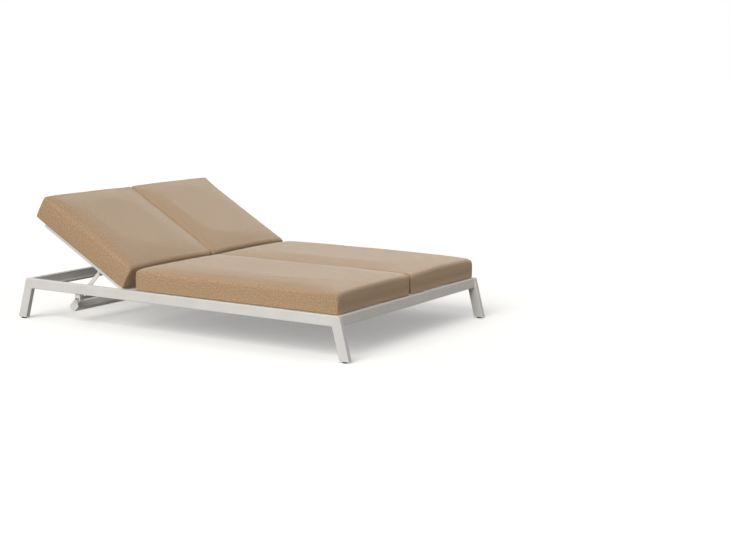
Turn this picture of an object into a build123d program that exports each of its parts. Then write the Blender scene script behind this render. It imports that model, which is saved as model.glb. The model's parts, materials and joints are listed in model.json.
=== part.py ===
from build123d import *
import os
from math import cos, radians, sin, sqrt, tan

os.makedirs("parts", exist_ok=True)

# Two beds side by side on one metal frame. X is the width, +Y points to the head end, and +Z is up.
# The origin lies on the floor at the middle of the frame. The backs stand raised in their middle notch.

# Main frame
frame_length = 2050
frame_width = 1500
frame_height = 230
rail_depth = 55
rail_width = 30
rail_wall = 2.5
rail_edge_radius = 4
frame_corner_radius = 8
leg_splay = 15
overrun = 5

# Feet
foot_height = 8
foot_radius = 14.5
foot_edge_radius = 2
foot_plug_depth = 28
plug_clearance = 0.1

# Seat deck
slat_count = 12
slat_width = 60
slat_depth = 15
slat_wall = 1.5
slat_edge_radius = 2
cross_rail_size = 30
deck_to_hinge = 25

# Ledge inside the head rail and the blocks on it that a lowered back lies on
ledge_width = 25
ledge_depth = 12
buffer_length = 40
buffer_width = 16
buffer_to_side = 14
buffer_clearance = 0.3
buffer_edge_radius = 2

# Back frames
hinge_from_head = 670
back_angle = 29.5
back_length = 630
back_tail = 14
back_tube_width = 30
back_tube_depth = 20
back_tube_wall = 2
back_tube_edge_radius = 3
back_side_gap = 4
back_cross_start = 22
back_slat_count = 4
back_slat_width = 60
back_slat_depth = 12
back_cap_thickness = 2
back_cap_depth = 14

# Hinge
hinge_pin_radius = 4
hinge_bush_wall = 1.2
hinge_flange_radius = 6
hinge_bush_depth = 6
hinge_pin_head_radius = 7
hinge_pin_head = 3
running_clearance = 0.05
side_clearance = 0.3

# Notched stay under each back
stay_angle = 46
stay_pivot_reach = 206
stay_pivot_drop = 26
stay_tail = 70
stay_plate = 5
stay_rise = 13
stay_fall = 14
stay_start_rise = 8
stay_start_fall = 10
rest_notch = 187
notch_pitch = 48
notches_above = 1
notches_below = 1
notch_roof_gap = 1.2
notch_wall_gap = 9
notch_ramp_gap = 1
notch_wall_depth = 12
tooth_depth = 19
tooth_lean = 10
tooth_radius = 1
stay_start_round = 8
stay_end_round = 16
stay_tube_thickness = 28
stay_tube_wall = 2
stay_tube_edge_radius = 3
stay_tube_end_gap = 7
stay_pin_radius = 4
stay_pin_head_radius = 6.5
stay_pin_head = 3
lug_thickness = 5
lug_radius = 11
lug_foot = 17

# Bar across the frame that the stays hook onto, and its hangers
bar_radius = 10
bar_wall = 2
hanger_thickness = 8
hanger_width = 36
hanger_wall = 7

# Cushions
seat_cushion_thickness = 118
back_cushion_thickness = 136
cushion_inset = 18
cushion_middle_gap = 3
seat_cushion_from_hinge = 91
back_cushion_start = 3
back_cushion_length = 702
seat_end_radii = (34, 24)
back_end_radii = (26, 12)
cushion_outer_radius = 26
cushion_inner_radius = 6
cushion_base_radius = 5
cushion_corner_radius = 6
cushion_crown = 9
cushion_end_crown = 2
cushion_side_bulge = 3
cushion_gap = 0.3
end_place_shares = (0, 0.1, 0.33, 1)
crown_place_shares = (0.07, 0.2, 0.5, 0.8, 0.93)
crown_flatness = 6

# Worked out from the sizes above
half_length = frame_length / 2
half_width = frame_width / 2
hinge_place = half_length - hinge_from_head
rail_inner_x = half_width - rail_width
half_beam = rail_width / 2
rail_bottom = frame_height - rail_depth
rail_middle = frame_height - rail_depth / 2
bay_width = rail_inner_x - half_beam
bay_middle = (rail_inner_x + half_beam) / 2
hinge_height = frame_height - back_tube_depth / 2
deck_end = hinge_place - deck_to_hinge
deck_start = rail_width - half_length
slat_pitch = (deck_end - deck_start - slat_width) / (slat_count - 0.5)
back_middle_depth = back_tube_depth / 2
back_outer_x = rail_inner_x - back_side_gap
back_inner_x = half_beam + back_side_gap
back_width = back_outer_x - back_inner_x
back_between = back_width - 2 * back_tube_width
bush_radius = hinge_pin_radius + running_clearance + hinge_bush_wall
bush_hole_radius = bush_radius + running_clearance
pin_hole_radius = hinge_pin_radius + running_clearance

# Directions along a raised back and square to it, and along a stay and square to it
up_back = Vector(0, cos(radians(back_angle)), sin(radians(back_angle)))
off_back = Vector(0, -sin(radians(back_angle)), cos(radians(back_angle)))
down_stay = Vector(0, cos(radians(stay_angle)), -sin(radians(stay_angle)))
off_stay = Vector(0, sin(radians(stay_angle)), cos(radians(stay_angle)))
hinge = Vector(0, hinge_place, hinge_height)
pivot = hinge + up_back * stay_pivot_reach - off_back * stay_pivot_drop
bar_fall = stay_fall + notch_roof_gap + bar_radius
bar = pivot + down_stay * rest_notch - off_stay * bar_fall

back_side = Plane(origin=hinge, x_dir=up_back, z_dir=(1, 0, 0))
stay_side = Plane(origin=pivot, x_dir=down_stay, z_dir=(1, 0, 0))

left_pieces = {}

# Side frames: a rail with a splayed leg mitred to each end, rounded at the two upper corners
leg_reach = frame_height * tan(radians(leg_splay))
with BuildPart() as side_outline:
    with BuildSketch(Plane.YZ.offset(-half_width - overrun)) as side_sketch:
        with BuildLine():
            side_line = Polyline(
                (-half_length, frame_height),
                (half_length, frame_height),
                (half_length + leg_reach, 0),
                (-half_length - leg_reach, 0),
                close=True,
            )
        make_face()
        fillet(side_sketch.vertices().group_by(Axis.Y)[-1], frame_corner_radius)
    extrude(amount=rail_width + 2 * overrun)

head_mitre = Plane(
    origin=(0, half_length, frame_height),
    x_dir=(1, 0, 0),
    z_dir=(0, -1 - sin(radians(leg_splay)), cos(radians(leg_splay))),
)
foot_mitre = Plane(
    origin=(0, -half_length, frame_height),
    x_dir=(1, 0, 0),
    z_dir=(0, 1 + sin(radians(leg_splay)), cos(radians(leg_splay))),
)

with BuildPart() as side_rail:
    with BuildSketch(Plane.XZ.offset(-half_length)):
        with Locations((-half_width + rail_width / 2, rail_middle)):
            RectangleRounded(rail_width, rail_depth, rail_edge_radius)
            RectangleRounded(
                rail_width - 2 * rail_wall,
                rail_depth - 2 * rail_wall,
                rail_edge_radius - rail_wall,
                mode=Mode.SUBTRACT,
            )
    extrude(amount=frame_length)
    split(bisect_by=head_mitre, keep=Keep.TOP)
    split(bisect_by=foot_mitre, keep=Keep.TOP)
    add(side_outline.part, mode=Mode.INTERSECT)
    with BuildSketch(Plane.YZ.offset(-rail_inner_x - rail_wall - overrun)):
        with Locations((hinge_place, hinge_height)):
            Circle(bush_hole_radius)
    extrude(amount=rail_wall + 2 * overrun, mode=Mode.SUBTRACT)
left_pieces["side_rail"] = side_rail.part

for end, way, mitre in (("head", 1, head_mitre), ("foot", -1, foot_mitre)):
    leg_down = Vector(0, way * sin(radians(leg_splay)), -cos(radians(leg_splay)))
    leg_out = Vector(0, way * cos(radians(leg_splay)), sin(radians(leg_splay)))
    leg_top = Vector(-half_width + rail_width / 2, way * half_length, frame_height) - leg_out * rail_depth / 2
    leg_plane = Plane(origin=leg_top - leg_down * rail_depth, x_dir=(1, 0, 0), z_dir=leg_down)
    with BuildPart() as leg:
        with BuildSketch(leg_plane):
            RectangleRounded(rail_width, rail_depth, rail_edge_radius)
            RectangleRounded(
                rail_width - 2 * rail_wall,
                rail_depth - 2 * rail_wall,
                rail_edge_radius - rail_wall,
                mode=Mode.SUBTRACT,
            )
        extrude(amount=frame_height + 2 * rail_depth)
        split(bisect_by=mitre, keep=Keep.BOTTOM)
        split(bisect_by=Plane.XY.offset(foot_height), keep=Keep.TOP)
        add(side_outline.part, mode=Mode.INTERSECT)
    left_pieces[f"{end}_leg"] = leg.part

    # The foot is a glide disc under a plug that fills the end of the leg
    foot_middle = leg_top + leg_down * ((leg_top.Z - foot_height) / cos(radians(leg_splay)))
    with BuildPart() as glide:
        with BuildSketch(leg_plane):
            RectangleRounded(
                rail_width - 2 * rail_wall - 2 * plug_clearance,
                rail_depth - 2 * rail_wall - 2 * plug_clearance,
                rail_edge_radius - rail_wall,
            )
        extrude(amount=frame_height + 2 * rail_depth)
        split(bisect_by=Plane.XY.offset(foot_height), keep=Keep.TOP)
        split(bisect_by=Plane.XY.offset(foot_height + foot_plug_depth), keep=Keep.BOTTOM)
        with BuildSketch(Plane.XY):
            with Locations((foot_middle.X, foot_middle.Y)):
                Circle(foot_radius)
        extrude(amount=foot_height)
        fillet(glide.faces().sort_by(Axis.Z)[0].edges(), foot_edge_radius)
    left_pieces[f"{end}_glide"] = glide.part

# Rails across the ends and the beam down the middle
for end, way in (("head", 1), ("foot", -1)):
    with BuildPart() as end_rail:
        with BuildSketch(Plane.YZ.offset(-rail_inner_x)):
            with Locations((way * (half_length - rail_width / 2), rail_middle)):
                RectangleRounded(rail_width, rail_depth, rail_edge_radius)
                RectangleRounded(
                    rail_width - 2 * rail_wall,
                    rail_depth - 2 * rail_wall,
                    rail_edge_radius - rail_wall,
                    mode=Mode.SUBTRACT,
                )
        extrude(amount=2 * rail_inner_x)
    end_rail.part.label = f"{end}_rail"
    export_step(end_rail.part, f"parts/{end}_rail.step")

with BuildPart() as centre_beam:
    with BuildSketch(Plane.XZ.offset(rail_width - half_length)):
        with Locations((0, rail_middle)):
            RectangleRounded(rail_width, rail_depth, rail_edge_radius)
            RectangleRounded(
                rail_width - 2 * rail_wall,
                rail_depth - 2 * rail_wall,
                rail_edge_radius - rail_wall,
                mode=Mode.SUBTRACT,
            )
    extrude(amount=frame_length - 2 * rail_width)
    with BuildSketch(Plane.YZ):
        with Locations((hinge_place, hinge_height)):
            Circle(bush_hole_radius)
    extrude(amount=rail_width, both=True, mode=Mode.SUBTRACT)
centre_beam.part.label = "centre_beam"
export_step(centre_beam.part, "parts/centre_beam.step")

# Ledge along the foot of the head rail, with a rubber block at each side of the bay
ledge_top = rail_bottom + ledge_depth
head_inner = half_length - rail_width
with BuildPart() as head_ledge:
    with BuildSketch(Plane.YZ.offset(-rail_inner_x)):
        with Locations((head_inner - ledge_width / 2, rail_bottom + ledge_depth / 2)):
            Rectangle(ledge_width, ledge_depth)
    extrude(amount=bay_width)
left_pieces["head_ledge"] = head_ledge.part

block_height = frame_height - back_tube_depth - buffer_clearance - ledge_top
block_spread = back_width - 2 * buffer_to_side
with BuildPart() as rest_blocks:
    with BuildSketch(Plane.XY.offset(ledge_top)):
        with Locations((-bay_middle, head_inner - ledge_width / 2)):
            with GridLocations(block_spread, 0, 2, 1):
                RectangleRounded(buffer_width, ledge_width - 2 * buffer_edge_radius, buffer_edge_radius)
    extrude(amount=block_height)
left_pieces["rest_blocks"] = rest_blocks.part

# Seat slats and the cross rail under their head end
with BuildPart() as seat_slats:
    with BuildSketch(Plane.YZ.offset(-rail_inner_x)):
        for number in range(slat_count):
            slat_place = deck_end - slat_width / 2 - number * slat_pitch
            with Locations((slat_place, frame_height - slat_depth / 2)):
                RectangleRounded(slat_width, slat_depth, slat_edge_radius)
                RectangleRounded(
                    slat_width - 2 * slat_wall,
                    slat_depth - 2 * slat_wall,
                    slat_edge_radius - slat_wall,
                    mode=Mode.SUBTRACT,
                )
    extrude(amount=bay_width)
left_pieces["seat_slats"] = seat_slats.part

with BuildPart() as cross_rail:
    with BuildSketch(Plane.YZ.offset(-rail_inner_x)):
        with Locations((deck_end - cross_rail_size / 2, frame_height - slat_depth - cross_rail_size / 2)):
            RectangleRounded(cross_rail_size, cross_rail_size, rail_edge_radius)
            RectangleRounded(
                cross_rail_size - 2 * rail_wall,
                cross_rail_size - 2 * rail_wall,
                rail_edge_radius - rail_wall,
                mode=Mode.SUBTRACT,
            )
    extrude(amount=bay_width)
left_pieces["cross_rail"] = cross_rail.part

# Bar that the stays hook onto, hung under the rails and the beam
with BuildPart() as stop_bar:
    with BuildSketch(Plane.YZ.offset(-half_width)):
        with Locations((bar.Y, bar.Z)):
            Circle(bar_radius)
            Circle(bar_radius - bar_wall, mode=Mode.SUBTRACT)
    extrude(amount=frame_width)
stop_bar.part.label = "stop_bar"
export_step(stop_bar.part, "parts/stop_bar.step")

hanger_radius = bar_radius + hanger_wall
with BuildPart() as bar_hangers:
    for place in (-half_width + rail_width / 2, 0, half_width - rail_width / 2):
        with BuildSketch(Plane.YZ.offset(place - hanger_thickness / 2)):
            with BuildLine():
                Polyline(
                    (bar.Y - hanger_radius, bar.Z),
                    (bar.Y - hanger_width / 2, rail_bottom),
                    (bar.Y + hanger_width / 2, rail_bottom),
                    (bar.Y + hanger_radius, bar.Z),
                )
                ThreePointArc(
                    (bar.Y + hanger_radius, bar.Z),
                    (bar.Y, bar.Z - hanger_radius),
                    (bar.Y - hanger_radius, bar.Z),
                )
            make_face()
            with Locations((bar.Y, bar.Z)):
                Circle(bar_radius + running_clearance, mode=Mode.SUBTRACT)
        extrude(amount=hanger_thickness)
bar_hangers.part.label = "bar_hangers"
export_step(bar_hangers.part, "parts/bar_hangers.step")

# Hinge bushes in the side rail and the beam, and the two pins that turn in them
flange_thickness = back_side_gap - side_clearance
with BuildPart() as hinge_bushes:
    for face_x, way in ((-rail_inner_x, 1), (-half_beam, -1)):
        for radius, start, end in (
            (hinge_flange_radius, 0, flange_thickness),
            (bush_radius, -hinge_bush_depth, 0),
        ):
            with BuildSketch(Plane.YZ.offset(face_x + way * start)):
                with Locations((hinge_place, hinge_height)):
                    Circle(radius)
                    Circle(pin_hole_radius, mode=Mode.SUBTRACT)
            extrude(amount=way * (end - start))
left_pieces["hinge_bushes"] = hinge_bushes.part

head_gap = back_tube_width + side_clearance
with BuildPart() as hinge_pins:
    for face_x, way in ((-rail_inner_x, 1), (-half_beam, -1)):
        pin_end = back_side_gap + head_gap
        for radius, start, end in (
            (hinge_pin_radius, -hinge_bush_depth, pin_end),
            (hinge_pin_head_radius, pin_end, pin_end + hinge_pin_head),
        ):
            with BuildSketch(Plane.YZ.offset(face_x + way * start)):
                with Locations((hinge_place, hinge_height)):
                    Circle(radius)
            extrude(amount=way * (end - start))
left_pieces["hinge_pins"] = hinge_pins.part

# Back frame: two side tubes with caps, two cross tubes and slats between them
side_tube_places = (-back_outer_x + back_tube_width / 2, -back_inner_x - back_tube_width / 2)
with BuildPart() as back_side_tubes:
    with BuildSketch(Plane(origin=hinge - up_back * back_tail, x_dir=(1, 0, 0), z_dir=up_back)):
        with Locations(*[(place, 0) for place in side_tube_places]):
            RectangleRounded(back_tube_width, back_tube_depth, back_tube_edge_radius)
            RectangleRounded(
                back_tube_width - 2 * back_tube_wall,
                back_tube_depth - 2 * back_tube_wall,
                back_tube_edge_radius - back_tube_wall,
                mode=Mode.SUBTRACT,
            )
    extrude(amount=back_tail + back_length)
    with BuildSketch(Plane.YZ.offset(-half_width)):
        with Locations((hinge_place, hinge_height)):
            Circle(pin_hole_radius)
    extrude(amount=half_width, mode=Mode.SUBTRACT)
left_pieces["back_side_tubes"] = back_side_tubes.part

with BuildPart() as back_caps:
    for place_along, way in ((back_length, 1), (-back_tail, -1)):
        cap_plane = Plane(origin=hinge + up_back * place_along, x_dir=(1, 0, 0), z_dir=up_back * way)
        with BuildSketch(cap_plane):
            with Locations(*[(place, 0) for place in side_tube_places]):
                RectangleRounded(back_tube_width, back_tube_depth, back_tube_edge_radius)
        extrude(amount=back_cap_thickness)
        cap_depth = min(back_cap_depth, back_tail - hinge_pin_radius - side_clearance) if way < 0 else back_cap_depth
        with BuildSketch(cap_plane):
            with Locations(*[(place, 0) for place in side_tube_places]):
                RectangleRounded(
                    back_tube_width - 2 * back_tube_wall - 2 * plug_clearance,
                    back_tube_depth - 2 * back_tube_wall - 2 * plug_clearance,
                    back_tube_edge_radius - back_tube_wall,
                )
        extrude(amount=-cap_depth)
left_pieces["back_caps"] = back_caps.part

cross_tube_start = -back_outer_x + back_tube_width
back_head_start = back_length - back_tube_width
back_slat_room = back_head_start - back_cross_start - back_tube_width
back_slat_gap = (back_slat_room - back_slat_count * back_slat_width) / (back_slat_count + 1)
for name, along in (("back_hinge_tube", back_cross_start), ("back_head_tube", back_head_start)):
    with BuildPart() as back_cross_tube:
        with BuildSketch(back_side.offset(cross_tube_start)):
            with Locations((along + back_tube_width / 2, 0)):
                RectangleRounded(back_tube_width, back_tube_depth, back_tube_edge_radius)
                RectangleRounded(
                    back_tube_width - 2 * back_tube_wall,
                    back_tube_depth - 2 * back_tube_wall,
                    back_tube_edge_radius - back_tube_wall,
                    mode=Mode.SUBTRACT,
                )
        extrude(amount=back_between)
    left_pieces[name] = back_cross_tube.part

with BuildPart() as back_slats:
    with BuildSketch(back_side.offset(cross_tube_start)):
        for number in range(back_slat_count):
            slat_low = back_cross_start + back_tube_width + back_slat_gap
            slat_along = slat_low + number * (back_slat_width + back_slat_gap) + back_slat_width / 2
            with Locations((slat_along, back_middle_depth - back_slat_depth / 2)):
                RectangleRounded(back_slat_width, back_slat_depth, slat_edge_radius)
                RectangleRounded(
                    back_slat_width - 2 * slat_wall,
                    back_slat_depth - 2 * slat_wall,
                    slat_edge_radius - slat_wall,
                    mode=Mode.SUBTRACT,
                )
    extrude(amount=back_between)
left_pieces["back_slats"] = back_slats.part

# Lugs under the side tubes that carry the stay, flush with the tubes' inner faces
lug_places = (cross_tube_start - lug_thickness, cross_tube_start + back_between)
with BuildPart() as stay_lugs:
    for place in lug_places:
        with BuildSketch(back_side.offset(place)):
            with BuildLine():
                Polyline(
                    (stay_pivot_reach - lug_radius, -stay_pivot_drop),
                    (stay_pivot_reach - lug_foot, -back_middle_depth),
                    (stay_pivot_reach + lug_foot, -back_middle_depth),
                    (stay_pivot_reach + lug_radius, -stay_pivot_drop),
                )
                ThreePointArc(
                    (stay_pivot_reach + lug_radius, -stay_pivot_drop),
                    (stay_pivot_reach, -stay_pivot_drop - lug_radius),
                    (stay_pivot_reach - lug_radius, -stay_pivot_drop),
                )
            make_face()
            with Locations((stay_pivot_reach, -stay_pivot_drop)):
                Circle(stay_pin_radius + running_clearance, mode=Mode.SUBTRACT)
        extrude(amount=lug_thickness)
left_pieces["stay_lugs"] = stay_lugs.part

# Stay: two notched plates joined by a tube at their lower ends
last_notch = rest_notch + notches_below * notch_pitch
stay_length = last_notch + stay_tail
roof = -stay_fall
wall_end = roof - notch_wall_depth
tip = roof - tooth_depth
notch_half = bar_radius
stay_outline = [(-stay_start_round, stay_start_rise), (stay_length, stay_rise), (stay_length, tip)]
stay_radii = [stay_start_round, stay_end_round, stay_end_round]
stay_outline.append((last_notch + notch_half + notch_ramp_gap + tooth_lean, tip))
stay_radii.append(tooth_radius)
for number in range(notches_below, -notches_above - 1, -1):
    notch = rest_notch + number * notch_pitch
    wall = notch - notch_half - notch_wall_gap
    stay_outline += [
        (notch + notch_half + notch_ramp_gap, roof),
        (wall, roof),
        (wall, wall_end),
        (wall - tooth_lean, tip),
    ]
    stay_radii += [tooth_radius, 2 * tooth_radius, tooth_radius, tooth_radius]
stay_outline += [(wall - 2 * tooth_lean - tooth_depth / 2, roof), (-stay_start_round, -stay_start_fall)]
stay_radii += [stay_start_round, stay_start_round]

plate_places = (
    cross_tube_start + side_clearance,
    cross_tube_start + back_between - side_clearance - stay_plate,
)
with BuildPart() as stay_plates:
    for place in plate_places:
        with BuildSketch(stay_side.offset(place)):
            with BuildLine():
                FilletPolyline(*stay_outline, radius=stay_radii, close=True)
            make_face()
            with Locations((0, 0)):
                Circle(stay_pin_radius + running_clearance, mode=Mode.SUBTRACT)
        extrude(amount=stay_plate)
left_pieces["stay_plates"] = stay_plates.part

stay_depth = stay_rise + stay_fall + tooth_depth
with BuildPart() as stay_tube:
    with BuildSketch(stay_side.offset(plate_places[0] + stay_plate)):
        with Locations((stay_length - stay_tube_end_gap - stay_tube_thickness / 2, stay_rise - stay_depth / 2)):
            RectangleRounded(stay_tube_thickness, stay_depth, stay_tube_edge_radius)
            RectangleRounded(
                stay_tube_thickness - 2 * stay_tube_wall,
                stay_depth - 2 * stay_tube_wall,
                stay_tube_edge_radius - stay_tube_wall,
                mode=Mode.SUBTRACT,
            )
    extrude(amount=plate_places[1] - plate_places[0] - stay_plate)
left_pieces["stay_tube"] = stay_tube.part

# Rivets through the lugs and the plates, with a head each side
with BuildPart() as stay_pins:
    for lug_x, way in ((lug_places[0], 1), (lug_places[1] + lug_thickness, -1)):
        shaft_end = lug_thickness + side_clearance + stay_plate + side_clearance
        for radius, start, end in (
            (stay_pin_head_radius, -side_clearance - stay_pin_head, -side_clearance),
            (stay_pin_radius, -side_clearance, shaft_end),
            (stay_pin_head_radius, shaft_end, shaft_end + stay_pin_head),
        ):
            with BuildSketch(Plane.YZ.offset(lug_x + way * start)):
                with Locations((pivot.Y, pivot.Z)):
                    Circle(radius)
            extrude(amount=way * (end - start))
left_pieces["stay_pins"] = stay_pins.part


def rounding(radius, place):
    """How far in an edge of this radius lies at a place along the cushion, measured from its end."""
    if place >= radius:
        return 0
    return radius - sqrt(radius**2 - (radius - place) ** 2)


def cushion_sections(base, length, half_wide, thickness, end_radii):
    """Outlines across a left cushion from one end to the other, rounded at the ends and crowned between."""
    near_end = [end_radii[0] * share for share in end_place_shares]
    middle = [length * share for share in crown_place_shares]
    far_end = [length - end_radii[1] * share for share in reversed(end_place_shares)]
    sections = []
    for place in near_end + middle + far_end:
        from_end = min(place, length - place)
        end_radius = end_radii[0] if place < length / 2 else end_radii[1]
        fullness = 1 - abs(1 - 2 * place / length) ** crown_flatness
        half = half_wide - rounding(cushion_corner_radius, from_end)
        high = thickness - rounding(end_radius, from_end)
        low = rounding(cushion_base_radius, from_end)
        crown = cushion_end_crown + (cushion_crown - cushion_end_crown) * fullness
        outer_radius = cushion_inner_radius + (cushion_outer_radius - cushion_inner_radius) * fullness
        outer_turn = outer_radius * (1 - cos(radians(45)))
        inner_turn = cushion_inner_radius * (1 - cos(radians(45)))
        base_turn = cushion_base_radius * (1 - cos(radians(45)))
        plane = Plane(origin=base.from_local_coords((0, place, 0)), x_dir=base.x_dir, z_dir=-base.y_dir)
        with BuildSketch(plane) as outline:
            with BuildLine():
                Line((cushion_base_radius - half, low), (half - cushion_base_radius, low))
                ThreePointArc(
                    (half - cushion_base_radius, low),
                    (half - base_turn, low + base_turn),
                    (half, low + cushion_base_radius),
                )
                ThreePointArc(
                    (half, low + cushion_base_radius),
                    (half + cushion_side_bulge, (low + high) / 2),
                    (half, high - cushion_inner_radius),
                )
                ThreePointArc(
                    (half, high - cushion_inner_radius),
                    (half - inner_turn, high - inner_turn),
                    (half - cushion_inner_radius, high),
                )
                ThreePointArc(
                    (half - cushion_inner_radius, high),
                    ((outer_radius - cushion_inner_radius) / 2, high + crown),
                    (outer_radius - half, high),
                )
                ThreePointArc(
                    (outer_radius - half, high),
                    (outer_turn - half, high - outer_turn),
                    (-half, high - outer_radius),
                )
                ThreePointArc(
                    (-half, high - outer_radius),
                    (-half - cushion_side_bulge, (low + high) / 2),
                    (-half, low + cushion_base_radius),
                )
                ThreePointArc(
                    (-half, low + cushion_base_radius),
                    (base_turn - half, low + base_turn),
                    (cushion_base_radius - half, low),
                )
            make_face()
        sections.append(outline.sketch)
    return sections


# Cushions lie on the deck and on the back, a little inside the frame
cushion_outer = half_width - cushion_inset
cushion_half = (cushion_outer - cushion_middle_gap) / 2 - cushion_side_bulge
cushion_middle = (cushion_outer + cushion_middle_gap) / 2
seat_start = cushion_inset - half_length
seat_cushion_length = hinge_place - seat_cushion_from_hinge - seat_start
seat_base = Plane(origin=(-cushion_middle, seat_start, frame_height + cushion_gap), x_dir=(1, 0, 0), z_dir=(0, 0, 1))
seat_sizes = (seat_cushion_length, cushion_half, seat_cushion_thickness, seat_end_radii)
with BuildPart() as seat_cushion:
    loft(sections=cushion_sections(seat_base, *seat_sizes), ruled=True)
left_pieces["seat_cushion"] = seat_cushion.part

back_origin = hinge + up_back * back_cushion_start + off_back * (back_middle_depth + cushion_gap)
back_base = Plane(origin=back_origin - Vector(cushion_middle, 0, 0), x_dir=(1, 0, 0), z_dir=off_back)
back_sizes = (back_cushion_length, cushion_half, back_cushion_thickness, back_end_radii)
with BuildPart() as back_cushion:
    loft(sections=cushion_sections(back_base, *back_sizes), ruled=True)
left_pieces["back_cushion"] = back_cushion.part

# The right half is the left half mirrored
for name, piece in left_pieces.items():
    piece.label = f"left_{name}"
    export_step(piece, f"parts/left_{name}.step")
    with BuildPart() as right_piece:
        mirror(piece, about=Plane.YZ)
    right_piece.part.label = f"right_{name}"
    export_step(right_piece.part, f"parts/right_{name}.step")

print("stop bar at", round(bar.Y, 2), round(bar.Z, 2), "stay pivot at", round(pivot.Y, 2), round(pivot.Z, 2))
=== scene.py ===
import json
from math import cos, pi, radians, sin

import bpy
from mathutils import Matrix, Vector, noise
from mathutils.bvhtree import BVHTree


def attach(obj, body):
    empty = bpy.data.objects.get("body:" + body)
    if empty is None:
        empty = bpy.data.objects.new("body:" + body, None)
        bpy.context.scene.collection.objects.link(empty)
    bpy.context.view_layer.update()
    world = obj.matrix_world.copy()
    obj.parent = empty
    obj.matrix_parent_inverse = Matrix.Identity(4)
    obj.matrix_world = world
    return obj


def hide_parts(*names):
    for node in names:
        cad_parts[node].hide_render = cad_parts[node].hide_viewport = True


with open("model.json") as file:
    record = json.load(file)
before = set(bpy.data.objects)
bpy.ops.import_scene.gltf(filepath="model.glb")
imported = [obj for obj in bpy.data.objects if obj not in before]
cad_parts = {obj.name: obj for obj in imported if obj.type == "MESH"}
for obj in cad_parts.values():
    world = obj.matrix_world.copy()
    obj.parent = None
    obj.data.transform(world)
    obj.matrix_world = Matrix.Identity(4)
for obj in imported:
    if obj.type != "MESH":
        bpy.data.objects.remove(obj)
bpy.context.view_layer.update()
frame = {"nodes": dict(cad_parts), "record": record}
scene = bpy.context.scene
nodes = frame["nodes"]
sides = ("left", "right")
print("frame loaded,", len(nodes), "nodes")


# materials and the stage are built from these helpers

def startMaterial(name):
    material = bpy.data.materials.new(name)
    material.use_nodes = True
    tree = material.node_tree
    return material, tree, tree.nodes["Principled BSDF"]


def addNode(tree, kind, values=None, **settings):
    node = tree.nodes.new(kind)
    for name, value in settings.items():
        setattr(node, name, value)
    for name, value in (values or {}).items():
        if isinstance(value, bpy.types.NodeSocket):
            tree.links.new(value, node.inputs[name])
        else:
            node.inputs[name].default_value = value
    return node


def addNoise(tree, place, scale, detail, roughness=0.5):
    values = {"Vector": place, "Scale": scale, "Detail": detail, "Roughness": roughness}
    return addNode(tree, "ShaderNodeTexNoise", values).outputs["Fac"]


def addRange(tree, factor, limits):
    low, high = limits
    values = {"Value": factor, "To Min": low, "To Max": high}
    return addNode(tree, "ShaderNodeMapRange", values).outputs["Result"]


def addRamp(tree, factor, places, colours):
    ramp = addNode(tree, "ShaderNodeValToRGB", {"Fac": factor})
    stops = ramp.color_ramp.elements
    while len(stops) < len(places):
        stops.new(0.5)
    for stop, place, colour in zip(stops, places, colours):
        stop.position = place
        stop.color = (*colour, 1)
    return ramp.outputs["Color"]


def addMix(tree, factor, first, second):
    mix = addNode(tree, "ShaderNodeMix", {"Factor": factor}, data_type="FLOAT")
    tree.links.new(first, mix.inputs[2])
    tree.links.new(second, mix.inputs[3])
    return mix.outputs[0]


def addBump(tree, shader, height, distance, strength=1):
    values = {"Height": height, "Distance": distance, "Strength": strength}
    bump = addNode(tree, "ShaderNodeBump", values)
    tree.links.new(bump.outputs["Normal"], shader.inputs["Normal"])


def addSeen(tree):
    # 1 where the camera or a mirroring surface looks, 0 for light that bounces about
    path = addNode(tree, "ShaderNodeLightPath")
    rays = {0: path.outputs["Is Camera Ray"], 1: path.outputs["Is Glossy Ray"]}
    return addNode(tree, "ShaderNodeMath", rays, operation="MAXIMUM").outputs[0]


# powder coat on all the aluminium

powderCoat = {
    "thin": (0.73, 0.72, 0.705),
    "full": (0.775, 0.765, 0.75),
    "patchScale": 9.0,
    "patchStops": (0.35, 0.65),
    "grainScale": 1400.0,
    "grainDepth": 0.00006,
    "roughness": (0.36, 0.5),
}


def paintMaterial(spec):
    material, tree, shader = startMaterial("powderCoat")
    place = addNode(tree, "ShaderNodeTexCoord").outputs["Object"]
    patches = addNoise(tree, place, spec["patchScale"], detail=4)
    tint = addRamp(tree, patches, spec["patchStops"], (spec["thin"], spec["full"]))
    tree.links.new(tint, shader.inputs["Base Color"])
    grain = addNoise(tree, place, spec["grainScale"], detail=2)
    tree.links.new(addRange(tree, grain, spec["roughness"]), shader.inputs["Roughness"])
    addBump(tree, shader, grain, spec["grainDepth"])
    return material


# woven outdoor fabric in three yarn colours, laid out on the cushions' own UV in metres

fabric = {
    "yarn": 0.0017,
    "waver": 0.6,
    "slub": (32, 210),  # along and across the yarn
    "slubShift": 7.3,
    "slubScale": 2.6,
    "slubRoughness": 0.65,
    "fleck": 115,
    "fleckRoughness": 0.6,
    "fleckShare": 0.55,
    "dark": (0.36, 0.23, 0.13),
    "middle": (0.51, 0.345, 0.207),
    "light": (0.66, 0.46, 0.30),
    "stops": (0.34, 0.5, 0.66),
    "wearScale": 2.2,
    "fade": (0.93, 1.06),
    "yarnDepth": 0.0004,
    "fleckDepth": 3.0,  # against the yarns' own height
    "bump": 0.8,
    "gloss": {
        "Roughness": 0.92,
        "Specular IOR Level": 0.2,
        "Sheen Weight": 1.0,
        "Sheen Roughness": 0.3,
        "Sheen Tint": (1, 0.97, 0.9, 1),
    },
}


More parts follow.
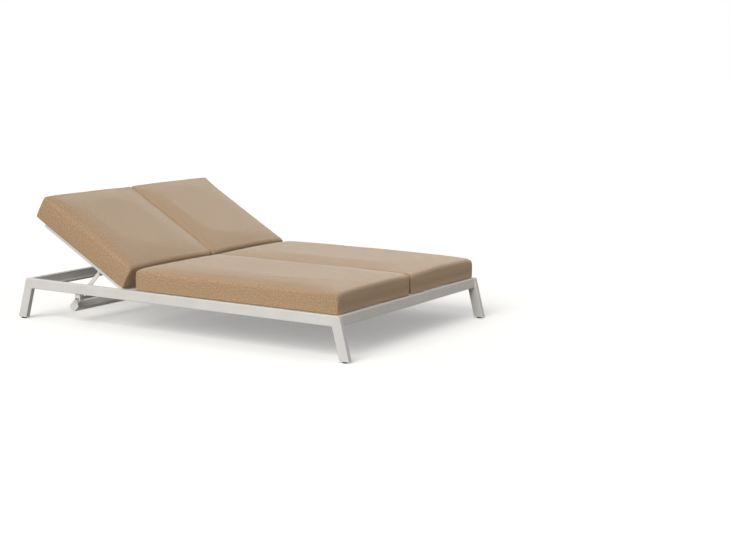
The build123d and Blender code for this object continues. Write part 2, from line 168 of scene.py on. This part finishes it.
def fabricMaterial(spec, name="wovenFabric", paintedShade=1.0):
    material, tree, shader = startMaterial(name)
    uv = addNode(tree, "ShaderNodeUVMap", uv_map="cloth").outputs["UV"]
    waveScale = pi / (10 * spec["yarn"])  # one wave to a yarn
    values = {"Vector": uv, "Scale": waveScale, "Distortion": spec["waver"], "Detail": 1}
    warp = addNode(tree, "ShaderNodeTexWave", values, bands_direction="X").outputs["Fac"]
    weft = addNode(tree, "ShaderNodeTexWave", values, bands_direction="Y").outputs["Fac"]
    checker = addNode(tree, "ShaderNodeTexChecker", {"Vector": uv, "Scale": 1 / spec["yarn"]})
    over = checker.outputs["Fac"]
    yarns = addMix(tree, over, warp, weft)

    # slubs: yarn colours run along the warp in one layer and along the weft in the other
    long, short = spec["slub"]
    streaks = []
    for stretch, shift in (((long, short, 1), 0), ((short, long, 1), spec["slubShift"])):
        values = {"Vector": uv, "Scale": stretch, "Location": (shift, shift, 0)}
        spread = addNode(tree, "ShaderNodeMapping", values).outputs["Vector"]
        streaks.append(addNoise(tree, spread, spec["slubScale"], 3, spec["slubRoughness"]))
    fleck = addNoise(tree, uv, spec["fleck"], 2, spec["fleckRoughness"])
    mixed = addMix(tree, spec["fleckShare"], addMix(tree, over, *streaks), fleck)
    # the factor darkens all three yarn colours; below 1 it is painted shade, used for the seams
    colours = [tuple(part * paintedShade for part in spec[key]) for key in ("dark", "middle", "light")]
    tint = addRamp(tree, mixed, spec["stops"], colours)

    # slow fading over the whole cushion
    wear = addNoise(tree, uv, spec["wearScale"], detail=3)
    values = {0: tint, "Scale": addRange(tree, wear, spec["fade"])}
    faded = addNode(tree, "ShaderNodeVectorMath", values, operation="SCALE")
    tree.links.new(faded.outputs["Vector"], shader.inputs["Base Color"])

    for socket, value in spec["gloss"].items():
        shader.inputs[socket].default_value = value
    values = {0: fleck, 1: spec["fleckDepth"], 2: yarns}
    height = addNode(tree, "ShaderNodeMath", values, operation="MULTIPLY_ADD")
    addBump(tree, shader, height.outputs[0], spec["yarnDepth"], spec["bump"])
    return material


# small parts: moulded rubber, moulded plastic and plain steel

smallParts = {
    "blackRubber": {
        "dark": (0.012, 0.012, 0.012),
        "light": (0.024, 0.023, 0.022),
        "scale": 320,
        "depth": 0.0001,
        "roughness": (0.55, 0.75),
        "metallic": 0,
    },
    "lightPlastic": {
        "dark": (0.60, 0.59, 0.565),
        "light": (0.66, 0.65, 0.625),
        "scale": 500,
        "depth": 0.00005,
        "roughness": (0.38, 0.52),
        "metallic": 0,
    },
    "plainSteel": {
        "dark": (0.50, 0.50, 0.49),
        "light": (0.62, 0.62, 0.61),
        "scale": 260,
        "depth": 0.00004,
        "roughness": (0.24, 0.42),
        "metallic": 1,
    },
}
mottleStops = (0.3, 0.7)


def smallPartMaterial(name, spec):
    material, tree, shader = startMaterial(name)
    place = addNode(tree, "ShaderNodeTexCoord").outputs["Object"]
    mottle = addNoise(tree, place, spec["scale"], detail=3)
    tint = addRamp(tree, mottle, mottleStops, (spec["dark"], spec["light"]))
    tree.links.new(tint, shader.inputs["Base Color"])
    tree.links.new(addRange(tree, mottle, spec["roughness"]), shader.inputs["Roughness"])
    shader.inputs["Metallic"].default_value = spec["metallic"]
    addBump(tree, shader, mottle, spec["depth"])
    return material


# the seams' cloth is the same fabric made darker: painted shade for the creases along the seams
seamPaintedShade = 0.82
paint = paintMaterial(powderCoat)
cloth = fabricMaterial(fabric)
seamClothPaintedShade = fabricMaterial(fabric, "seamFabricPaintedShade", seamPaintedShade)
small = {name: smallPartMaterial(name, spec) for name, spec in smallParts.items()}
materialOfSlot = {
    "frame_paint": paint,
    "woven_fabric": cloth,
    "black_rubber": small["blackRubber"],
    "light_plastic": small["lightPlastic"],
    "bare_steel": small["plainSteel"],
}
for part in frame["record"]["subparts"]:
    mesh = nodes[part["node"]].data
    mesh.materials.clear()
    mesh.materials.append(materialOfSlot[part["material_slot"]])
print("materials ready")


# cushions: each starts as its own solid, swells as cloth, and is then shaped and seamed

cushion = {
    "voxel": 0.0085,
    # the cloth: stiffnesses are low for a soft cover, and slack is taken off each side beforehand
    "slack": 0.002,
    "pressure": 4.0,
    "mass": 0.3,
    "quality": 4,
    "stretch": 20,
    "shear": 10,
    "bend": 2,
    "frames": 16,
    "cap": 0.012,  # the furthest that the cloth may move a point
    "sewnReach": 0.05,  # how far from an edge its sewing holds
    # the room beyond the solid, above and on the outer side
    "topRoom": 0.012,
    "sideRoom": 0.004,
    # the worn shape
    "cornerDrop": 0.003,
    "cornerReach": 0.12,
    "crownLift": 0.009,
    "fullness": 0.5,  # power of the arch along the cushion: lower is fuller towards the ends
    "rollReach": 0.085,
    "rollAtEnds": 0.35,
    "waist": 0.003,
    "sag": 0.0022,
    "sagSize": 0.24,
    "sagShift": 3.7,  # from one cushion's unevenness to the next one's
    # the inner side, next to the other bed
    "innerReach": 0.06,
    "innerLift": 0.0025,
    "innerFill": 0.0018,
    "innerFace": 0.9,
    "slotDraw": 0.006,
    "slotReach": 0.035,
    # the head end of a seat: a power of 2 is round, and a higher one squarer
    "endRadius": 0.024,
    "endHeight": 0.118,
    "endPower": 2.7,
    # where a seam runs
    "seamDip": 0.0014,
    "seamReach": 0.009,
}
# no two cushions have settled alike: how far the outer edge rolls off, and the head end stands up
wornShape = {
    "leftSeat": {"rollDrop": 0.018, "headLift": 0},
    "leftBack": {"rollDrop": 0.013, "headLift": 0.005},
    "rightSeat": {"rollDrop": 0.013, "headLift": 0},
    "rightBack": {"rollDrop": 0.003, "headLift": 0.008},
}
seam = {
    "radius": 0.0011,
    "bevelSteps": 2,
    # up a corner, and then over it about a pivot
    "steps": 9,
    "overSteps": 5,
    "overTurn": 52,  # degrees
    "rounding": 0.03,
    "shoulder": 1.6,  # roundings below the top
    "pivot": 1.4,  # roundings inside the corner
    # around the foot
    "baseHeight": 0.0045,
    "baseStep": 0.03,
    # a ray from outside finds the cloth, and a corner seam lies a little above it
    "rayStart": 0.3,
    "lift": 0.0002,
}
weld = 0.00001
backAngle = radians(29.5)
hingeLine = Vector((0, 0.355, 0.22))
backPlace = Matrix.Translation(hingeLine) @ Matrix.Rotation(backAngle, 4, "X")
cushionPlaces = {"seat": Matrix.Identity(4), "back": backPlace}


def pickOnly(piece):
    bpy.ops.object.select_all(action="DESELECT")
    piece.select_set(True)
    bpy.context.view_layer.objects.active = piece


def applyModifier(piece, kind, **settings):
    modifier = piece.modifiers.new(kind.lower(), kind)
    for name, value in settings.items():
        setattr(modifier, name, value)
    pickOnly(piece)
    bpy.ops.object.modifier_apply(modifier=modifier.name)


def cornersOf(piece):
    spots = [vertex.co for vertex in piece.data.vertices]
    low = Vector([min(spot[i] for spot in spots) for i in range(3)])
    high = Vector([max(spot[i] for spot in spots) for i in range(3)])
    return low, high


def blankCushion(name, node, place):
    piece = bpy.data.objects.new(name, nodes[node].data.copy())
    scene.collection.objects.link(piece)
    piece.data.transform(place.inverted())
    pickOnly(piece)
    bpy.ops.object.mode_set(mode="EDIT")
    bpy.ops.mesh.select_all(action="SELECT")
    bpy.ops.mesh.remove_doubles(threshold=weld)
    bpy.ops.mesh.normals_make_consistent(inside=False)
    bpy.ops.object.mode_set(mode="OBJECT")
    return piece


def sewnShare(spot, low, high, reach):
    # 1 on the sewn edges of a cushion, falling to 0 at the reach
    toX = min(spot.x - low.x, high.x - spot.x)
    toY = min(spot.y - low.y, high.y - spot.y)
    toZ = min(spot.z - low.z, high.z - spot.z)
    nearest = sorted((max(toX, 0), max(toY, 0), max(toZ, 0)))[:2]
    near = max(0, 1 - Vector(nearest).length / reach)
    return near * near * (3 - 2 * near)


def swell(piece, blank, spec):
    low, high = cornersOf(piece)
    middle = (low + high) / 2
    shrink = [1 - 2 * spec["slack"] / (high[i] - low[i]) for i in range(3)]
    for vertex in piece.data.vertices:
        for i in range(3):
            vertex.co[i] = middle[i] + (vertex.co[i] - middle[i]) * shrink[i]
    applyModifier(piece, "REMESH", mode="VOXEL", voxel_size=spec["voxel"])
    sewn = piece.vertex_groups.new(name="sewn")
    for vertex in piece.data.vertices:
        sewn.add([vertex.index], sewnShare(vertex.co, low, high, spec["sewnReach"]), "REPLACE")
    before = [vertex.co.copy() for vertex in piece.data.vertices]
    modifier = piece.modifiers.new("cloth", "CLOTH")
    modifier.settings.quality = spec["quality"]
    modifier.settings.mass = spec["mass"]
    modifier.settings.tension_stiffness = spec["stretch"]
    modifier.settings.compression_stiffness = spec["stretch"]
    modifier.settings.shear_stiffness = spec["shear"]
    modifier.settings.bending_stiffness = spec["bend"]
    modifier.settings.use_pressure = True
    modifier.settings.uniform_pressure_force = spec["pressure"]
    modifier.settings.vertex_group_mass = sewn.name
    modifier.settings.effector_weights.gravity = 0
    for step in range(1, spec["frames"] + 1):
        scene.frame_set(step)
    pickOnly(piece)
    bpy.ops.object.modifier_apply(modifier=modifier.name)
    scene.frame_set(1)
    for vertex, start in zip(piece.data.vertices, before):
        move = vertex.co - start
        if move.length > spec["cap"]:
            vertex.co = start + move * (spec["cap"] / move.length)
    applyModifier(piece, "SUBSURF", levels=1, render_levels=1)
    # the remesh cuts the edges, so they are drawn back out to the crisp blank
    tree = BVHTree.FromObject(blank, bpy.context.evaluated_depsgraph_get())
    for vertex in piece.data.vertices:
        share = sewnShare(vertex.co, low, high, spec["sewnReach"])
        if share > 0:
            vertex.co = vertex.co.lerp(tree.find_nearest(vertex.co)[0], share)
    piece.vertex_groups.clear()


def squareEnd(piece, spec, low, high):
    # makes the round upper edge of the head end squarer, without moving the top or the end face
    radius, power = spec["endRadius"], spec["endPower"]
    startY = high.y - radius
    startZ = low.z + spec["endHeight"] - radius
    for vertex in piece.data.vertices:
        spot = vertex.co
        alongY = (spot.y - startY) / radius
        alongZ = (spot.z - startZ) / radius
        if alongY > 0 and alongZ > 0:
            reach = Vector((alongY, alongZ)).length
            grow = reach / (alongY ** power + alongZ ** power) ** (1 / power)
            grow = 1 + (grow - 1) * min(1, reach)
            spot.y = startY + alongY * grow * radius
            spot.z = startZ + alongZ * grow * radius


def settle(piece, spec, shape, low, high, outward, seed):
    # gives a swollen cushion its worn shape, where share is a point's height from 0 to 1
    top = high.z - low.z
    inner = high.x if outward < 0 else low.x
    for vertex in piece.data.vertices:
        spot = vertex.co
        share = (spot.z - low.z) / top
        toX = min(spot.x - low.x, high.x - spot.x)
        toY = min(spot.y - low.y, high.y - spot.y)
        # the sewn top corners hang a little at the foot end of a seat and the hinge end of a back
        nearEnd = max(0, 1 - (spot.y - low.y) / spec["cornerReach"])
        nearCorner = max(0, 1 - toX / spec["cornerReach"]) * nearEnd
        spot.z -= spec["cornerDrop"] * nearCorner * share
        # the long outer edge rolls off softly below a crown that stands a little fuller
        acrossX = min(max((spot.x - low.x) / (high.x - low.x), 0), 1)
        acrossY = min(max((spot.y - low.y) / (high.y - low.y), 0), 1)
        fullY = sin(pi * acrossY) ** spec["fullness"]
        toOuter = high.x - spot.x if outward > 0 else spot.x - low.x
        roll = max(0, 1 - toOuter / spec["rollReach"])
        ends = spec["rollAtEnds"]
        spot.z -= shape["rollDrop"] * roll * roll * share * (ends + (1 - ends) * fullY)
        spot.z += shape["headLift"] * acrossY * share
        spot.z += spec["crownLift"] * sin(pi * acrossX) * fullY * share
        # the left bed's inner edge stands slightly above the right bed's, and both fill out
        nearInner = max(0, 1 - abs(spot.x - inner) / spec["innerReach"])
        spot.z -= outward * spec["innerLift"] * nearInner * nearInner * share
        if nearInner > spec["innerFace"]:
            fullZ = sin(pi * min(max(share, 0), 1))
            spot.x -= outward * spec["innerFill"] * fullZ * fullY
        # foam lies slightly unevenly, and the sides pull in between the corners
        wave = noise.noise(Vector((spot.x, spot.y, seed)) / spec["sagSize"])
        spot.z += spec["sag"] * wave * share
        if nearInner == 0:
            spot.x += spec["waist"] * (1 - 2 * acrossX) * sin(pi * acrossY)
        spot.y += spec["waist"] * (1 - 2 * acrossY) * sin(pi * acrossX)
        # the inner corners stand back at the ends, which opens the slot between the two beds there
        nearSlot = (max(0, 1 - toY / spec["slotReach"])
                    * max(0, 1 - abs(spot.x - inner) / spec["slotReach"]))
        spot.x += outward * spec["slotDraw"] * nearSlot
        # the corner seams are drawn in
        seamAway = Vector((toX, toY)).length
        dip = spec["seamDip"] * max(0, 1 - seamAway / spec["seamReach"])
        spot.x += dip if spot.x < (low.x + high.x) / 2 else -dip
        spot.y += dip if spot.y < (low.y + high.y) / 2 else -dip
    # the base stays flat on its slats, and the ends and inner side stay off what is next to them
    outer = spec["sideRoom"]
    lowRoom = Vector((outer if outward < 0 else 0, 0, 0))
    highRoom = Vector((outer if outward > 0 else 0, 0, spec["topRoom"]))
    for vertex in piece.data.vertices:
        for i in range(3):
            vertex.co[i] = min(max(vertex.co[i], low[i] - lowRoom[i]), high[i] + highRoom[i])


def layCloth(piece):
    # UV in metres, one flat sheet of cloth for each side of the cushion
    while piece.data.uv_layers:
        piece.data.uv_layers.remove(piece.data.uv_layers[0])
    piece.data.uv_layers.new(name="cloth")
    pickOnly(piece)
    bpy.ops.object.mode_set(mode="EDIT")
    bpy.ops.mesh.select_all(action="SELECT")
    bpy.ops.uv.cube_project(cube_size=1, correct_aspect=False)
    bpy.ops.object.mode_set(mode="OBJECT")


def seamPoint(tree, origin, direction, lift):
    hit, normal = tree.ray_cast(origin, direction)[:2]
    return None if hit is None else hit + normal * lift


def seamLines(piece, spec, low, high):
    bpy.context.view_layer.update()
    tree = BVHTree.FromObject(piece, bpy.context.evaluated_depsgraph_get())
    away, lift = spec["rayStart"], spec["lift"]
    base = low.z + spec["baseHeight"]
    shoulder = high.z - spec["shoulder"] * spec["rounding"]
    lines = []
    for sideX in (-1, 1):
        for sideY in (-1, 1):
            edge = Vector((high.x if sideX > 0 else low.x, high.y if sideY > 0 else low.y, 0))
            level = Vector((sideX, sideY, 0)).normalized()
            line = []
            for step in range(spec["steps"]):
                height = base + (shoulder - base) * step / (spec["steps"] - 1)
                start = edge + level * away + Vector((0, 0, height))
                line.append(seamPoint(tree, start, -level, lift))
            pivot = edge - level * spec["rounding"] * spec["pivot"] + Vector((0, 0, shoulder))
            for step in range(1, spec["overSteps"] + 1):
                turn = radians(spec["overTurn"]) * step / spec["overSteps"]
                ray = level * cos(turn) + Vector((0, 0, sin(turn)))
                line.append(seamPoint(tree, pivot + ray * away, -ray, lift))
            lines.append([point for point in line if point])
    ring = []
    corners = [Vector((x, y, base)) for x, y in
               ((low.x, low.y), (high.x, low.y), (high.x, high.y), (low.x, high.y))]
    for start, end in zip(corners, corners[1:] + corners[:1]):
        inward = Matrix.Rotation(pi / 2, 3, "Z") @ (end - start).normalized()
        count = max(2, round((end - start).length / spec["baseStep"]))
        for step in range(1, count):
            spot = start + (end - start) * step / count
            ring.append(seamPoint(tree, spot - inward * away, inward, 0))
    lines.append([point for point in ring if point])
    return lines


def sewSeams(name, piece, spec, low, high):
    curve = bpy.data.curves.new(name, "CURVE")
    curve.dimensions = "3D"
    curve.bevel_depth = spec["radius"]
    curve.bevel_resolution = spec["bevelSteps"]
    curve.use_fill_caps = True
    lines = seamLines(piece, spec, low, high)
    for line in lines:
        spline = curve.splines.new("POLY")
        spline.points.add(len(line) - 1)
        for point, spot in zip(spline.points, line):
            point.co = (*spot, 1)
        spline.use_cyclic_u = line is lines[-1]
    ridge = bpy.data.objects.new(name, curve)
    scene.collection.objects.link(ridge)
    pickOnly(ridge)
    bpy.ops.object.convert(target="MESH")
    return bpy.context.view_layer.objects.active


for number, (side, kind) in enumerate((side, kind) for side in sides for kind in cushionPlaces):
    place = cushionPlaces[kind]
    node = f"{side}_{kind}_cushion"
    name = side + kind.capitalize()
    outward = -1 if side == "left" else 1
    pad = blankCushion(name + "Cushion", node, place)
    blank = blankCushion("blank", node, place)
    low, high = cornersOf(pad)
    bpy.context.view_layer.update()
    swell(pad, blank, cushion)
    bpy.data.objects.remove(blank)
    if kind == "seat":
        squareEnd(pad, cushion, low, high)
    settle(pad, cushion, wornShape[name], low, high, outward, cushion["sagShift"] * number)
    layCloth(pad)
    ridge = sewSeams(name + "Seams", pad, seam, low, high)
    layCloth(ridge)
    # the seam ridges take the darkened fabric, which is painted shade
    for piece, material in ((pad, cloth), (ridge, seamClothPaintedShade)):
        piece.data.materials.clear()
        piece.data.materials.append(material)
        piece.data.transform(place)
        for polygon in piece.data.polygons:
            polygon.use_smooth = True
        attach(piece, "frame" if kind == "seat" else f"{side}_back")
    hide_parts(node)
    print("cushion ready:", pad.name, len(pad.data.polygons), "faces")


# pale floor, soft light and the camera

stageLook = {
    "floorSize": 120,
    "floorTone": (0.98, 0.98, 0.98),
    "lift": 0.29,
    "bounceTone": (0.27, 0.255, 0.225),
}


def layFloor(spec):
    bpy.ops.object.select_all(action="DESELECT")
    bpy.ops.mesh.primitive_plane_add(size=spec["floorSize"])
    floor = bpy.context.object
    floor.name = "floor"
    material = bpy.data.materials.new("floor")
    material.use_nodes = True
    tree = material.node_tree
    tree.nodes.clear()
    shown = addNode(tree, "ShaderNodeBsdfDiffuse", {"Color": (*spec["floorTone"], 1)})
    glow = addNode(tree, "ShaderNodeEmission", {"Strength": spec["lift"]})
    lifted = addNode(tree, "ShaderNodeAddShader", {0: shown.outputs[0], 1: glow.outputs[0]})
    bounce = addNode(tree, "ShaderNodeBsdfDiffuse", {"Color": (*spec["bounceTone"], 1)})
    values = {0: addSeen(tree), 1: bounce.outputs[0], 2: lifted.outputs[0]}
    both = addNode(tree, "ShaderNodeMixShader", values)
    addNode(tree, "ShaderNodeOutputMaterial", {"Surface": both.outputs[0]})
    floor.data.materials.append(material)


# the sky lights the lounger less than it shows behind it
skyLook = {
    "strength": 0.40,
    "tone": (1, 0.98, 0.94),
    "shownStrength": 1.0,
    "shownTone": (1, 1, 1),
}


def hangSky(spec):
    world = bpy.data.worlds.new("studio")
    scene.world = world
    world.use_nodes = True
    tree = world.node_tree
    tree.nodes.clear()
    seen = addSeen(tree)
    level = addRange(tree, seen, (spec["strength"], spec["shownStrength"]))
    values = {"Factor": seen, 6: (*spec["tone"], 1), 7: (*spec["shownTone"], 1)}
    tone = addNode(tree, "ShaderNodeMix", values, data_type="RGBA")
    sky = addNode(tree, "ShaderNodeBackground", {"Color": tone.outputs[2], "Strength": level})
    addNode(tree, "ShaderNodeOutputWorld", {"Surface": sky.outputs[0]})


# strengths are in watts per square metre, and a wide sun stands for a large softbox
lamps = {
    "nearSide": {
        "from": (-0.82, 0, 0.574),
        "spread": 45,
        "strength": 2.1,
        "tone": (1, 0.985, 0.965),
    },
}


def hangLamp(name, spec):
    light = bpy.data.lights.new(name, "SUN")
    light.angle = radians(spec["spread"])
    light.energy = spec["strength"]
    light.color = spec["tone"]
    lamp = bpy.data.objects.new(name, light)
    lamp.rotation_euler = Vector(spec["from"]).to_track_quat("Z", "Y").to_euler()
    scene.collection.objects.link(lamp)


# metres and radians, with the lens and its centre in pixels of the picture
viewpoint = {
    "spot": (-6.930, -4.842, 1.5815),
    "heading": (0.8667, 0.4989),
    "pitch": 0.1535,
    "roll": 0.0163,
    "focal": 1508.93,
    "centre": (385.76, 271.44),
    "picture": (730, 542),
    "sensor": 36,
    "farClip": 200,
}


def setCamera(spec):
    data = bpy.data.cameras.new("camera")
    width, height = spec["picture"]
    data.sensor_width = spec["sensor"]
    data.lens = spec["focal"] * spec["sensor"] / width
    data.shift_x = (width / 2 - spec["centre"][0]) / width
    data.shift_y = (spec["centre"][1] - height / 2) / width
    data.clip_end = spec["farClip"]
    aheadX, aheadY = spec["heading"]
    pitch, roll = spec["pitch"], spec["roll"]
    ahead = Vector((aheadX * cos(pitch), aheadY * cos(pitch), -sin(pitch)))
    across = Vector((aheadY, -aheadX, 0))
    upward = across.cross(ahead)
    right = across * cos(roll) + upward * sin(roll)
    top = upward * cos(roll) - across * sin(roll)
    camera = bpy.data.objects.new("camera", data)
    turn = Matrix((right, top, -ahead)).transposed().to_4x4()
    camera.matrix_world = Matrix.Translation(spec["spot"]) @ turn
    scene.collection.objects.link(camera)
    scene.camera = camera


layFloor(stageLook)
hangSky(skyLook)
for name, spec in lamps.items():
    hangLamp(name, spec)
setCamera(viewpoint)
scene.view_settings.view_transform = "Standard"
print("stage ready")
